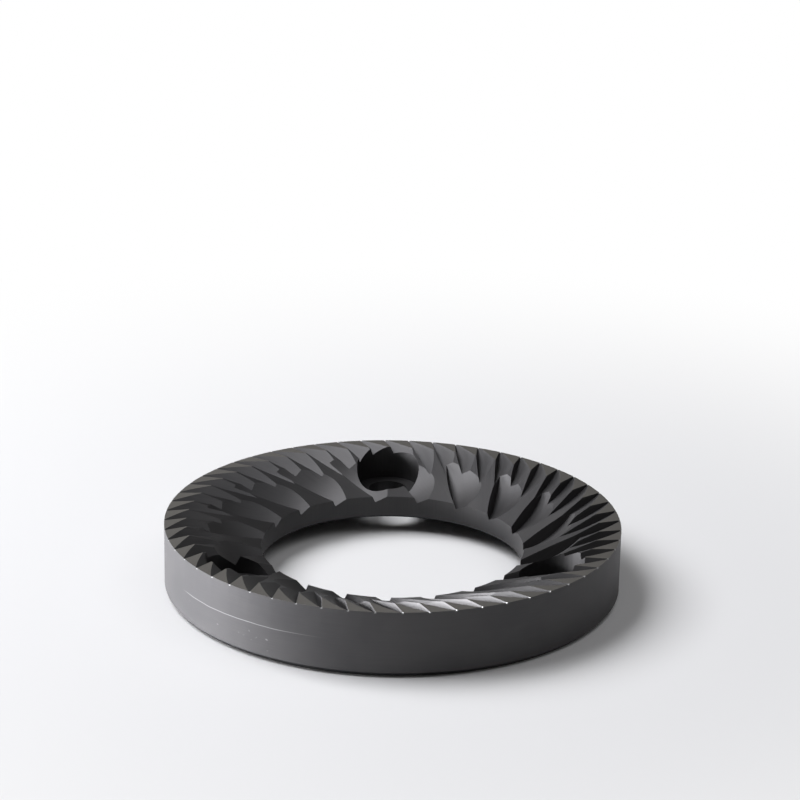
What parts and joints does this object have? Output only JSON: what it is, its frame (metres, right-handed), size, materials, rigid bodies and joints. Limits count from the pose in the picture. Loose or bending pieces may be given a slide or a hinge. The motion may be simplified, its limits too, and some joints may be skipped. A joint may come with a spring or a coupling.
{
  "type": "coffee grinder burr",
  "caption": "Flat ring burr that grinds coffee: milled teeth on its face, deeper breaker teeth round the bore, counterbored screw seats and a recessed back.",
  "frame": {"origin": "centre of the bore, in the plane of the back rim that the burr lies on", "axes": "+Z along the bore's axis, out of the toothed face; +Y through the centre of one of the screw holes; +X follows from them"},
  "size_m": [0.058, 0.058, 0.0085],
  "materials": {
    "steel": "dark hardened steel, fine satin, turned at the wall and back, milled at the teeth"
  },
  "bodies": {
    "root": {"burr": "steel"}
  },
  "joints": []
}
